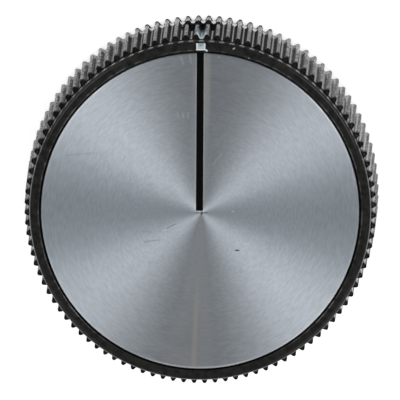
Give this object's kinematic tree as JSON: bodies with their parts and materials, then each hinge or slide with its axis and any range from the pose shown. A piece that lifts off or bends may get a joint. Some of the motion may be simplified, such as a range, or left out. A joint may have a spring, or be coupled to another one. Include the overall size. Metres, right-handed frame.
{
  "type": "pointer knob",
  "caption": "Large round control knob with a finely toothed black rim, a brushed aluminium face disc with a black index line, and a brass shaft bush with a side grub screw.",
  "frame": {"origin": "centre of the back rim, on the plane that the knob lies on", "axes": "+Z leaves the face along the shaft axis, +Y runs from the centre along the index line to the white mark, +X to the right of the line"},
  "size_m": [0.06, 0.06, 0.0275],
  "materials": {
    "black_moulding": "black phenolic moulding, satin, with a slight gloss on the teeth",
    "brushed_aluminium": "circular brushing about the centre, clear anodised",
    "black_enamel": "matt black engraving enamel",
    "white_enamel": "cool white engraving enamel, laid on by hand",
    "adhesive_film": "amber double-sided film",
    "turned_brass": "turned, bright",
    "blackened_steel": "blackened steel"
  },
  "bodies": {
    "root": {"knob_body": "black_moulding", "face_disc": "brushed_aluminium", "index_line": "black_enamel", "index_mark": "white_enamel", "disc_film": "adhesive_film", "shaft_bush": "turned_brass", "grub_screw": "blackened_steel"}
  },
  "joints": []
}
